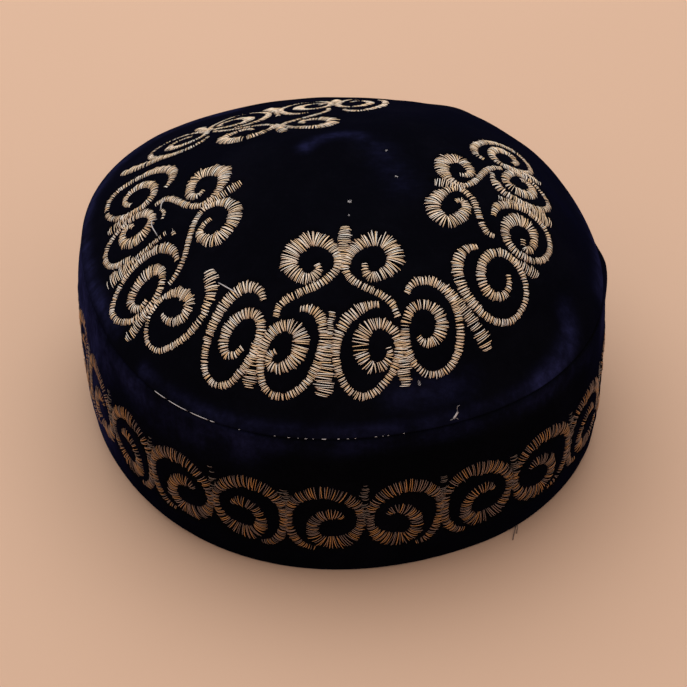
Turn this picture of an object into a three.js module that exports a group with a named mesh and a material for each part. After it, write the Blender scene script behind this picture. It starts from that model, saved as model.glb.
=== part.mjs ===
// A round velvet skullcap that stands on its rim: a domed crown sewn to an upright side band.
// Millimetres, +Z up, origin on the ground under the middle of the rim, front of the cap towards -Y.
import * as THREE from "three";

// Driving dimensions
const HEAD_GIRTH = 560; // inside circumference of the rim
const VELVET_WALL = 2.2; // velvet with its stiffened backing
const BAND_HEIGHT = 66.5; // rim to crown seam
const BAND_FLARE = 3.3; // how much wider the seam is than the rim, on the radius
const BAND_BELLY = 2.8; // how far the band swells between rim and seam
const DOME_RISE = 48.5; // crown seam to the top of the dome
const DOME_TIP = 9; // rounding of the top of the dome
const SEAM_GAP = 0.3; // between the crown's turned edge and the band's top edge
const TURNED_EDGE = 2.6; // level width of the crown's edge where it meets the band
const APEX_LEAN = { right: 6.6, back: -1.7 }; // the soft dome leans off the middle of the seam

// Power of the dome's outline on each side: 1 is a straight slope, 2 a parabola, more is fuller at the
// shoulder. The stiff front stands full, and the back has sunk to an almost straight slope.
const DOME_FULLNESS = { front: 3.2, right: 2.7, back: 1.4, left: 2.2 };

// Facets
const SIDES = 80;
const CROWN_RINGS = 14;
const BAND_RINGS = 8;

// Sizes that follow from them
const RIM_RADIUS = HEAD_GIRTH / (2 * Math.PI) + VELVET_WALL;
const SEAM_RADIUS = RIM_RADIUS + BAND_FLARE;
const CROWN_FOOT = BAND_HEIGHT + SEAM_GAP;
const CROWN_TOP = CROWN_FOOT + DOME_RISE;
const SEAM_RUN = Math.hypot(SEAM_RADIUS, DOME_TIP) - DOME_TIP;

// Azimuths are in degrees from the front of the cap, turning towards its right (+X).
// Soft cloth is never quite round: each row is a number of lobes round the cap, how far they stand
// out, and the azimuth of the first of them.
const RIM_LOBES = [
  { lobes: 2, amount: 1.8, azimuth: 49 },
  { lobes: 4, amount: 1.05, azimuth: 69 },
];
const SEAM_LOBES = [
  { lobes: 2, amount: 2.25, azimuth: 36 },
  { lobes: 4, amount: 2.1, azimuth: 57 },
];
const SEAM_LIFT = [
  { lobes: 1, amount: 1.9, azimuth: 184 },
  { lobes: 2, amount: 0.7, azimuth: 72 },
];

// Hollows (positive depth) and swellings (negative depth) pushed into the dome. Reach is the distance
// from the dome's axis in plan, and spread the radius at which a hollow has faded to about a third.
const CROWN_DENTS = [
  { name: "swelling at the back right", azimuth: 149, reach: 85, spread: 11, depth: -1.1 },
  { name: "hollow beside it", azimuth: 136, reach: 84, spread: 11, depth: 1.0 },
  { name: "slack over the right seam", azimuth: 101, reach: 82, spread: 13, depth: 1.3 },
  { name: "swelling at the back left", azimuth: -108, reach: 88, spread: 10, depth: -1.2 },
];

// The same for the upright band, where height is above the ground. The hollows fade out next to the
// seam, so that both pieces keep the one seam line.
const BAND_DENTS = [
  { name: "sag on the right", azimuth: 84, height: 34, spread: 17, depth: 1.6 },
  { name: "swelling under the right seam", azimuth: 91, height: 58, spread: 12, depth: -1.9 },
  { name: "sag on the left", azimuth: -84, height: 36, spread: 18, depth: 1.0 },
  { name: "swelling at the front right", azimuth: 38, height: 14, spread: 20, depth: -1.0 },
];

const CROWN_FADE = 0.06; // share of the crown's radius
const BAND_FADE = 0.08; // share of the band's height

const radians = THREE.MathUtils.degToRad;
const fading = THREE.MathUtils.smoothstep;

// Sum of a table of lobes at one azimuth.
function lobed(table, azimuth) {
  return table.reduce(
    (sum, row) => sum + row.amount * Math.cos(row.lobes * (azimuth - radians(row.azimuth))),
    0,
  );
}

// How deep the hollows of a table are at a point of the undented cap.
function hollow(table, point, centreOf) {
  return table.reduce((sum, row) => {
    const away = point.distanceTo(centreOf(row)) / row.spread;
    return sum + row.depth * Math.exp(-away * away);
  }, 0);
}

// The dome's fullness at an azimuth, turning smoothly from side to side.
function fullness(azimuth) {
  const { front, right, back, left } = DOME_FULLNESS;
  const lengthwise = front + back;
  const crosswise = right + left;
  return (
    (lengthwise + crosswise) / 4 +
    ((front - back) / 2) * Math.cos(azimuth) +
    ((right - left) / 2) * Math.sin(azimuth) +
    ((lengthwise - crosswise) / 4) * Math.cos(2 * azimuth)
  );
}

// The crown's outline: an arch from the rounded top of the dome to the seam.
function domeHeight(radius, azimuth) {
  const run = (Math.hypot(radius, DOME_TIP) - DOME_TIP) / SEAM_RUN;
  return CROWN_TOP - DOME_RISE * run ** fullness(azimuth);
}

function domeSlope(radius, azimuth) {
  const slant = Math.hypot(radius, DOME_TIP);
  const run = (slant - DOME_TIP) / SEAM_RUN;
  const power = fullness(azimuth);
  return (DOME_RISE * power * run ** (power - 1) * radius) / (slant * SEAM_RUN);
}

// The band's round outline: an arched line from the rim to the seam.
function bandRadius(height) {
  const share = height / BAND_HEIGHT;
  return RIM_RADIUS + BAND_FLARE * share + BAND_BELLY * 4 * share * (1 - share);
}

// A point at an azimuth, a distance from the axis and a height.
function around(azimuth, radius, height) {
  return new THREE.Vector3(radius * Math.sin(azimuth), -radius * Math.cos(azimuth), height);
}

// A closed profile spun round Z, whose points are then moved to the soft cap's own places.
function spun(profile, soften) {
  const geometry = new THREE.LatheGeometry(profile, SIDES);
  geometry.rotateX(Math.PI / 2);
  const places = geometry.getAttribute("position");
  const point = new THREE.Vector3();
  for (let i = 0; i < places.count; i++) {
    soften(point.fromBufferAttribute(places, i));
    places.setXYZ(i, point.x, point.y, point.z);
  }
  geometry.deleteAttribute("uv");
  geometry.computeVertexNormals();
  return geometry;
}

// Crown: one disc of velvet shaped to a dome, with its edge turned level to meet the band. Its spun
// profile has height 0 on the outside and -1, one wall down, on the inside.
function softenCrown(point) {
  const radius = Math.hypot(point.x, point.y);
  const azimuth = Math.atan2(point.x, -point.y);
  const share = Math.min(radius / SEAM_RADIUS, 1);
  const slope = domeSlope(radius, azimuth);
  const wallDown = point.z * VELVET_WALL * Math.hypot(1, slope);
  point.z = Math.max(domeHeight(radius, azimuth) + wallDown, CROWN_FOOT);
  const centreOf = (row) => {
    const turn = radians(row.azimuth);
    return around(turn, row.reach, domeHeight(row.reach, turn));
  };
  const depth = hollow(CROWN_DENTS, point, centreOf) * fading(1 - share, 0, CROWN_FADE);
  const tilt = Math.atan(slope);
  const wide = radius * (1 + lobed(SEAM_LOBES, azimuth) / SEAM_RADIUS) - depth * Math.sin(tilt);
  const high = point.z + lobed(SEAM_LIFT, azimuth) * share - depth * Math.cos(tilt);
  point.copy(around(azimuth, wide, high));
  point.x += APEX_LEAN.right * (1 - share * share);
  point.y += APEX_LEAN.back * (1 - share * share);
}

function crown() {
  const outside = [];
  const inside = [];
  for (let ring = 0; ring <= CROWN_RINGS; ring++) {
    const radius = (SEAM_RADIUS * ring) / CROWN_RINGS;
    outside.push(new THREE.Vector2(radius, 0));
    inside.push(new THREE.Vector2(Math.min(radius, SEAM_RADIUS - TURNED_EDGE), -1));
  }
  return spun([...inside, ...outside.reverse()], softenCrown);
}

// Side band: one strip of velvet joined into a ring, level where it stands.
function softenBand(point) {
  const radius = Math.hypot(point.x, point.y);
  const azimuth = Math.atan2(point.x, -point.y);
  const share = point.z / BAND_HEIGHT;
  const centreOf = (row) => around(radians(row.azimuth), bandRadius(row.height), row.height);
  const depth = hollow(BAND_DENTS, point, centreOf) * fading(1 - share, 0, BAND_FADE);
  const out = lobed(RIM_LOBES, azimuth) * (1 - share) + lobed(SEAM_LOBES, azimuth) * share;
  const high = point.z + lobed(SEAM_LIFT, azimuth) * share;
  point.copy(around(azimuth, radius + out - depth, high));
}

function sideBand() {
  const outside = [];
  const inside = [];
  for (let ring = 0; ring <= BAND_RINGS; ring++) {
    const height = (BAND_HEIGHT * ring) / BAND_RINGS;
    outside.push(new THREE.Vector2(bandRadius(height), height));
    inside.push(new THREE.Vector2(bandRadius(height) - VELVET_WALL, height));
  }
  const profile = [...outside, ...inside.reverse()];
  profile.push(profile[0].clone());
  return spun(profile, softenBand);
}

function velvet() {
  return new THREE.MeshStandardMaterial({ color: 0x0b0b24, roughness: 0.95, metalness: 0 });
}

function piece(name, geometry) {
  const mesh = new THREE.Mesh(geometry, velvet());
  mesh.name = name;
  return mesh;
}

const skullcap = new THREE.Group();
skullcap.name = "skullcap";
skullcap.add(piece("crown", crown()));
skullcap.add(piece("side_band", sideBand()));

export default skullcap;
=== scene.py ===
"""A round navy velvet skullcap with gold scroll embroidery, standing on its rim.

Lengths are millimetres, and become metres where a mesh, light or camera is made. Azimuths are degrees
from the front of the cap, turning towards its right. A chart gives each embroidered stroke as points
with the width of the satin stitch there.
"""
import math

import bmesh
import bpy
import numpy as np
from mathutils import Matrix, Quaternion, Vector
from mathutils.kdtree import KDTree


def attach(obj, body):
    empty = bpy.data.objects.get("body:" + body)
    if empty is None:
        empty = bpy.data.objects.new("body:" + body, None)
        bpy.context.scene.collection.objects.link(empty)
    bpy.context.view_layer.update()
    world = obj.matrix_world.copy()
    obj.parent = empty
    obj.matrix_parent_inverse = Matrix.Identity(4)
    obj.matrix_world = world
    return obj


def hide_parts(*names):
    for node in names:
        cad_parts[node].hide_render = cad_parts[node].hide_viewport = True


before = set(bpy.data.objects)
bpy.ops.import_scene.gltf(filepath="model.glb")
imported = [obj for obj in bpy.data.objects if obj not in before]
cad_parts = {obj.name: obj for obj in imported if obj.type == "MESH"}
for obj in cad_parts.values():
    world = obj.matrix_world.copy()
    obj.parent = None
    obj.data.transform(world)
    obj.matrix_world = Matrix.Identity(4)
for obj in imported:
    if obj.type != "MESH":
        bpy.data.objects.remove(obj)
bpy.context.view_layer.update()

MM = 0.001
TURN = 2 * math.pi

# Size and softness of the cap
HEAD_GIRTH = 560
VELVET_WALL = 2.2
BAND_HEIGHT = 66.5
BAND_FLARE = 3.3
BAND_BELLY = 2.8
DOME_RISE = 48.5
DOME_TIP = 9.0
SEAM_GAP = 0.3
LEAN_RIGHT = 6.6
LEAN_BACK = -1.7
RIM_RADIUS = HEAD_GIRTH / TURN + VELVET_WALL
SEAM_RADIUS = RIM_RADIUS + BAND_FLARE
CROWN_FOOT = BAND_HEIGHT + SEAM_GAP
CROWN_TOP = CROWN_FOOT + DOME_RISE
SEAM_RUN = math.hypot(SEAM_RADIUS, DOME_TIP) - DOME_TIP

# Power of the dome's outline on each side: 1 is a straight slope, more is fuller at the shoulder
FULL_FRONT = 3.2
FULL_RIGHT = 2.7
FULL_BACK = 1.4
FULL_LEFT = 2.2

# Lobes round the cap: number, how far they stand out, azimuth of the first
RIM_LOBES = [(2, 1.8, 49), (4, 1.05, 69)]
SEAM_LOBES = [(2, 2.25, 36), (4, 2.1, 57)]
SEAM_LIFT = [(1, 1.9, 184), (2, 0.7, 72)]

# Hollows and swellings of the crown: azimuth, reach from the axis, spread, depth
CROWN_DENTS = [
    (149, 85, 11, -1.1),
    (136, 84, 11, 1.0),
    (101, 82, 13, 1.3),
    (-108, 88, 10, -1.2),
]
# Hollows and swellings of the band: azimuth, height, spread, depth
BAND_DENTS = [
    (84, 34, 17, 1.6),
    (91, 58, 12, -1.9),
    (-84, 36, 18, 1.0),
    (38, 14, 20, -1.0),
]
CROWN_FADE = 0.06
BAND_FADE = 0.08

# Slack of the cloth on the crown: length of the wave, its heading, its height
CROWN_RIPPLES = [(61, 20, 0.28), (43, 115, 0.22), (27, 65, 0.12), (17, 160, 0.07)]
# Slack of the band: waves round the cap, turns of the wave from rim to seam, height, azimuth
BAND_RIPPLES = [(7, 0.4, 0.3, 12), (12, -0.7, 0.22, 40), (23, 0.5, 0.14, 5), (37, -1.1, 0.08, 70)]
SEAM_ROLL = 0.8
SEAM_ROLL_FROM_EDGE = 2.6
SEAM_ROLL_SPREAD = 2.0
EDGE_ROUND = 1.1
TURNED_EDGE = 4.2
TURNED_EDGE_RISE = 0.5
FACE_STOP = 0.9 * EDGE_ROUND
# Section of the crown's turned edge, from its woven back to its face: in from the seam, above the foot
TURNED_ROWS = [(2.9, 0.12), (1.9, 0), (0.9, 0), (0.35, 0.1), (0.12, 0.4), (0.4, 0.85)]
TURNED_ROWS_BACK = 2
# Sections of the band's edges: in from the outside, then above the ground or under the seam
RIM_ROWS = [(1.5, 0), (0.8, 0.04), (0.25, 0.35)]
SEAM_ROWS = [(0.2, 0.5), (0.75, 0.1), (1.5, 0)]
BACK_UNDER_SEAM = 0.3
BACK_OVER_GROUND = 0.5

# Fineness of the two velvet shells
SEGMENTS = 480
CROWN_RINGS = 124
BAND_RINGS = 76
INSIDE_RINGS = 22

# Short ways along the plan or height, and round the band, that show which way the cloth faces
NUDGE = 0.2
TURN_NUDGE = 0.002
OFF_THE_POLE = 0.001
TINY = 1e-9

# How the stitches draw the velvet in, and how it swells beside them
PRESS_DEPTH = 0.6
PRESS_RAMP = 0.8
PRESS_SWELL = 0.22
PRESS_MARGIN = 1.6


def fading(share):
    """A smooth rise from 0 to 1."""
    share = np.clip(share, 0, 1)
    return share * share * (3 - 2 * share)


def lobed(table, azimuth):
    """Sum of a table of lobes at azimuths in radians."""
    total = 0
    for lobes, amount, first in table:
        total = total + amount * np.cos(lobes * (azimuth - math.radians(first)))
    return total


def around(azimuth, radius, height):
    """Points at azimuths, distances from the axis and heights."""
    azimuth, radius, height = np.broadcast_arrays(azimuth, radius, height)
    return np.stack([radius * np.sin(azimuth), -radius * np.cos(azimuth), height], axis=-1)


def hollow(dents, centre_of, points):
    """Depth of a table of hollows at points of the round, undented cap."""
    total = 0
    for azimuth, place, spread, depth in dents:
        away = np.linalg.norm(points - centre_of(math.radians(azimuth), place), axis=-1) / spread
        total = total + depth * np.exp(-away * away)
    return total


def fullness(azimuth):
    """The dome's fullness at azimuths, turning smoothly from side to side."""
    lengthwise = FULL_FRONT + FULL_BACK
    crosswise = FULL_RIGHT + FULL_LEFT
    return (
        (lengthwise + crosswise) / 4
        + (FULL_FRONT - FULL_BACK) / 2 * np.cos(azimuth)
        + (FULL_RIGHT - FULL_LEFT) / 2 * np.sin(azimuth)
        + (lengthwise - crosswise) / 4 * np.cos(2 * azimuth)
    )


def dome_height(radius, azimuth):
    run = (np.hypot(radius, DOME_TIP) - DOME_TIP) / SEAM_RUN
    return CROWN_TOP - DOME_RISE * run ** fullness(azimuth)


def dome_slope(radius, azimuth):
    slant = np.hypot(radius, DOME_TIP)
    power = fullness(azimuth)
    return DOME_RISE * power * ((slant - DOME_TIP) / SEAM_RUN) ** (power - 1) * radius / (slant * SEAM_RUN)


def band_radius(height):
    share = height / BAND_HEIGHT
    return RIM_RADIUS + BAND_FLARE * share + BAND_BELLY * 4 * share * (1 - share)


def crown_point(radius, azimuth, height):
    """A point of the round crown moved by its softness."""
    share = np.minimum(radius / SEAM_RADIUS, 1)

    def centre_of(dent_azimuth, reach):
        return around(dent_azimuth, reach, dome_height(reach, dent_azimuth))

    depth = hollow(CROWN_DENTS, centre_of, around(azimuth, radius, height))
    depth = depth * fading((1 - share) / CROWN_FADE)
    slope = np.arctan(dome_slope(radius, azimuth))
    wide = radius * (1 + lobed(SEAM_LOBES, azimuth) / SEAM_RADIUS) - depth * np.sin(slope)
    high = height + lobed(SEAM_LIFT, azimuth) * share - depth * np.cos(slope)
    point = around(azimuth, wide, high)
    point[..., 0] += LEAN_RIGHT * (1 - share * share)
    point[..., 1] += LEAN_BACK * (1 - share * share)
    return point


def crown_slack(radius, azimuth):
    """Ripples of the crown's velvet, and the roll of its edge over the seam."""
    east = radius * np.sin(azimuth)
    north = -radius * np.cos(azimuth)
    rise = 0
    for length, heading, height in CROWN_RIPPLES:
        turn = math.radians(heading)
        along = east * math.cos(turn) + north * math.sin(turn)
        rise = rise + height * np.sin(TURN * along / length)
    from_edge = SEAM_RADIUS - radius
    roll = SEAM_ROLL * np.exp(-(((from_edge - SEAM_ROLL_FROM_EDGE) / SEAM_ROLL_SPREAD) ** 2))
    return (rise + roll) * fading(from_edge / EDGE_ROUND)


def crown_outside(radius, azimuth):
    return crown_point(radius, azimuth, dome_height(radius, azimuth) + crown_slack(radius, azimuth))


def crown_at(plan):
    """Points of the crown's outside over plan points."""
    radius = np.minimum(np.hypot(plan[:, 0], plan[:, 1]), SEAM_RADIUS)
    return crown_outside(radius, np.arctan2(plan[:, 0], -plan[:, 1]))


def band_point(radius, azimuth, height):
    """A point of the round band moved by its softness."""
    share = height / BAND_HEIGHT

    def centre_of(dent_azimuth, dent_height):
        return around(dent_azimuth, band_radius(dent_height), dent_height)

    depth = hollow(BAND_DENTS, centre_of, around(azimuth, radius, height)) * fading((1 - share) / BAND_FADE)
    out = lobed(RIM_LOBES, azimuth) * (1 - share) + lobed(SEAM_LOBES, azimuth) * share
    return around(azimuth, radius + out - depth, height + lobed(SEAM_LIFT, azimuth) * share)


def band_slack(azimuth, height):
    share = height / BAND_HEIGHT
    rise = 0
    for waves, turns, amount, first in BAND_RIPPLES:
        phase = waves * (azimuth - math.radians(first)) + TURN * turns * share
        rise = rise + amount * np.cos(phase)
    return rise * fading(share / BAND_FADE) * fading((1 - share) / BAND_FADE)


def band_outside(azimuth, height):
    return band_point(band_radius(height) + band_slack(azimuth, height), azimuth, height)


def band_at(strip):
    """Points of the band's outside, given as azimuth in radians and height."""
    return band_outside(strip[:, 0], strip[:, 1])


def facing(surface, places, nudges):
    """Outward directions of a surface at places of its two-number chart."""
    first, second = np.diag(nudges)
    normal = np.cross(
        surface(places + first) - surface(places - first),
        surface(places + second) - surface(places - second),
    )
    return normal / np.linalg.norm(normal, axis=1)[:, None]


def crown_facing(plan):
    return facing(crown_at, plan, (NUDGE, NUDGE))


def band_facing(strip):
    return facing(band_at, strip, (TURN_NUDGE, NUDGE))


# Node trees written as expressions
def operator(operation):
    """The two methods, plain and reflected, that make one Math node of an operator."""
    def plain(self, other):
        return self.graph.math(operation, self, other)

    def reflected(self, other):
        return self.graph.math(operation, other, self)

    return plain, reflected


class Wire:
    """An output socket; arithmetic on it adds Math nodes."""

    __add__, __radd__ = operator("ADD")
    __sub__, __rsub__ = operator("SUBTRACT")
    __mul__, __rmul__ = operator("MULTIPLY")
    __truediv__, __rtruediv__ = operator("DIVIDE")
    __pow__, __rpow__ = operator("POWER")

    def __init__(self, graph, socket):
        self.graph = graph
        self.socket = socket

    def __abs__(self):
        return self.graph.math("ABSOLUTE", self)


class Graph:
    """A shader or geometry tree."""

    def __init__(self, tree):
        self.tree = tree
        self.tree.nodes.clear()

    def node(self, kind, settings=None, sockets=None, out=None):
        """Add a node, set it up, feed its sockets by name or in order, and return one of its outputs."""
        made = self.tree.nodes.new(kind)
        for name, value in (settings or {}).items():
            setattr(made, name, value)
        fed = sockets.items() if isinstance(sockets, dict) else enumerate(sockets or ())
        for key, value in fed:
            self.feed(self.socket(made.inputs, key), value)
        if out is None:
            out = next((socket.name for socket in made.outputs if socket.enabled), None)
        return Wire(self, self.socket(made.outputs, out)) if out else made

    def socket(self, sockets, key):
        if isinstance(key, int):
            return sockets[key]
        return next(socket for socket in sockets if socket.name == key and socket.enabled)

    def feed(self, socket, value):
        if isinstance(value, Wire):
            self.tree.links.new(value.socket, socket)
        else:
            socket.default_value = value

    def math(self, operation, *values):
        return self.node("ShaderNodeMath", {"operation": operation}, values)

    def vector(self, operation, *values):
        return self.node("ShaderNodeVectorMath", {"operation": operation}, values)

    def combined(self, x=0.0, y=0.0, z=0.0):
        return self.node("ShaderNodeCombineXYZ", {}, (x, y, z))

    def scaled(self, vector, factor):
        sockets = {"Vector": vector, "Scale": factor}
        return self.node("ShaderNodeVectorMath", {"operation": "SCALE"}, sockets)

    def step(self, value, low, high):
        """A smooth rise from 0 at low to 1 at high."""
        sockets = {"Value": value, "From Min": low, "From Max": high}
        return self.node("ShaderNodeMapRange", {"interpolation_type": "SMOOTHSTEP"}, sockets)

    def blend(self, first, second, share):
        """A colour between two colours."""
        return self.node("ShaderNodeMix", {"data_type": "RGBA"}, {"Factor": share, "A": first, "B": second})

    def place(self):
        """Where a point lies on the piece."""
        return self.node("ShaderNodeTexCoord", out="Object")

    def value(self, name):
        """A number that the mesh carries at its points."""
        return self.node("ShaderNodeAttribute", {"attribute_name": name}, out="Fac")

    def noise(self, place, scale, detail, roughness):
        sockets = {"Vector": place, "Scale": scale, "Detail": detail, "Roughness": roughness}
        return self.node("ShaderNodeTexNoise", {}, sockets, out="Fac")

    def random(self, low, high, seed):
        sockets = {"Min": low, "Max": high, "Seed": seed}
        return self.node("FunctionNodeRandomValue", {"data_type": "FLOAT"}, sockets)


def colour(red, green, blue):
    """A linear colour from 8-bit screen values."""
    def linear(level):
        level = level / 255
        return level / 12.92 if level <= 0.04045 else ((level + 0.055) / 1.055) ** 2.4

    return (linear(red), linear(green), linear(blue), 1.0)


def finish(name, constants):
    """A new material, its tree, and its Principled shader with the constants set."""
    material = bpy.data.materials.new(name)
    material.use_nodes = True
    graph = Graph(material.node_tree)
    shader = graph.tree.nodes.new("ShaderNodeBsdfPrincipled")
    for socket, value in constants.items():
        shader.inputs[socket].default_value = value
    end = graph.tree.nodes.new("ShaderNodeOutputMaterial")
    graph.tree.links.new(shader.outputs[0], end.inputs["Surface"])
    return material, graph, shader


def surfaced(graph, shader, shade, roughness, relief, strength, depth):
    """Feed a shader the colour, roughness and relief that change over a piece."""
    graph.feed(shader.inputs["Base Color"], shade)
    graph.feed(shader.inputs["Roughness"], roughness)
    sockets = {"Strength": strength, "Distance": depth * MM, "Height": relief}
    graph.feed(shader.inputs["Normal"], graph.node("ShaderNodeBump", {}, sockets))


# Finishes: shades, then how the pile and the threads lie
# Blue of brushed-up pile, also used as painted sheen along the listed streaks
BRUSHED_PILE_AND_SHEEN = colour(40, 42, 82)
PILE_SHEEN = colour(84, 92, 232)
COTTON_DEEP = colour(14, 14, 26)
COTTON_PALE = colour(44, 43, 62)
FLOOR_LIGHT = colour(207, 174, 151)
FLOOR_DARK = colour(202, 169, 146)
COMBED_TURN = (0.3, 0.2, 0.9)
COMBED_STRETCH = (1, 4.5, 1.6)
WEFT_THREADS = 620
WARP_THREADS = 150
TWIST_LENGTH = 0.9


def velvet(name, deep, lit):
    """Short dense pile: near black where it faces the eye, blue where it is seen edge on, and blue along
    listed streaks that are partly brushed-up pile and partly painted sheen.
    """
    material, graph, shader = finish(name, {
        "Specular IOR Level": 0.0,
        "Sheen Weight": 0.015,
        "Sheen Roughness": 0.4,
        "Sheen Tint": PILE_SHEEN,
    })
    place = graph.place()
    clouds = graph.noise(place, scale=38, detail=4, roughness=0.6)
    tufts = graph.noise(place, scale=520, detail=3, roughness=0.6)
    pile = graph.noise(place, scale=3400, detail=2, roughness=0.7)
    combed = graph.node("ShaderNodeMapping", {}, {
        "Vector": place, "Rotation": COMBED_TURN, "Scale": COMBED_STRETCH,
    })
    streaks = graph.noise(combed, scale=90, detail=3, roughness=0.65)
    patches = graph.step(graph.noise(place, scale=55, detail=3, roughness=0.6), low=0.36, high=0.64)
    tousled = graph.step(streaks * 0.6 + tufts * 0.4, low=0.38, high=0.66)
    # Painted sheen: the listed streaks turn the pile blue, partly brushed-up pile and partly painted sheen
    ruffled_and_sheen = graph.value("nap") * (patches * 0.7 + 0.3) * (0.45 + tousled * 0.55)
    lying = graph.step(clouds, low=0.42, high=0.72) * 0.5 + graph.step(tufts, low=0.5, high=0.8) * 0.3
    shade = graph.blend(deep, lit, lying + pile * 0.3)
    shade = graph.blend(shade, BRUSHED_PILE_AND_SHEEN, ruffled_and_sheen)
    relief = pile * 0.55 + tufts * 0.45
    surfaced(graph, shader, shade, 0.82 + pile * 0.16, relief, strength=0.55, depth=0.35)
    return material


def woven_back():
    """Plain dark cotton on the inside, in a fine over-and-under weave."""
    material, graph, shader = finish("woven back", {"Specular IOR Level": 0.15, "Sheen Weight": 0.05})
    chart = graph.node("ShaderNodeUVMap")
    across = graph.node("ShaderNodeSeparateXYZ", {}, {"Vector": chart}, out="X")
    down = graph.node("ShaderNodeSeparateXYZ", {}, {"Vector": chart}, out="Y")
    weft = graph.math("SINE", across * (TURN * WEFT_THREADS))
    warp = graph.math("SINE", down * (TURN * WARP_THREADS))
    over = weft * warp * 0.5 + 0.5
    slub = graph.noise(graph.place(), scale=260, detail=3, roughness=0.6)
    shade = graph.blend(COTTON_DEEP, COTTON_PALE, over * 0.6 + slub * 0.4)
    surfaced(graph, shader, shade, 0.8 + slub * 0.15, over, strength=0.5, depth=0.2)
    return material


def thread(name, pale, deep, honey, soiled, honeyed=0.6, gloss=0.7, roughness=0.36):
    """Two-ply thread whose shade changes from stitch to stitch; painted shade darkens each stitch towards
    the ends where it enters the cloth, and random grubby patches darken it too.
    """
    material, graph, shader = finish(name, {"Specular IOR Level": gloss, "Sheen Weight": 0.06})
    along = graph.value("along")
    # Painted shade: darker towards both ends of each stitch, where it arches down into the pile
    painted_end_shade = abs(along * 2 - 1) ** 2.2
    place = graph.place()
    fuzz = graph.noise(place, scale=2600, detail=2, roughness=0.6)
    grubby = graph.step(graph.noise(place, scale=130, detail=3, roughness=0.6), low=0.48, high=0.72)
    shade = graph.blend(deep, pale, graph.value("tone") * 0.75 + fuzz * 0.4)
    shade = graph.blend(shade, honey, graph.step(graph.value("warmth"), low=0.45, high=0.75) * honeyed)
    # The painted end shade and the random grubby patches take the same darker colour
    shade = graph.blend(shade, soiled, painted_end_shade * 0.92 + grubby * 0.26)
    twists = along * graph.value("span") / (TWIST_LENGTH * MM)
    ply = graph.math("SINE", (twists + graph.value("around") * 2) * TURN)
    relief = ply * 0.3 + fuzz * 0.5
    surfaced(graph, shader, shade, roughness + fuzz * 0.2, relief, strength=0.4, depth=0.12)
    return material


def pale_floor():
    material, graph, shader = finish("pale floor", {"Specular IOR Level": 0.1})
    clouds = graph.noise(graph.place(), scale=5, detail=3, roughness=0.5)
    graph.feed(shader.inputs["Base Color"], graph.blend(FLOOR_LIGHT, FLOOR_DARK, clouds))
    graph.feed(shader.inputs["Roughness"], 0.85 + clouds * 0.1)
    return material


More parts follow.
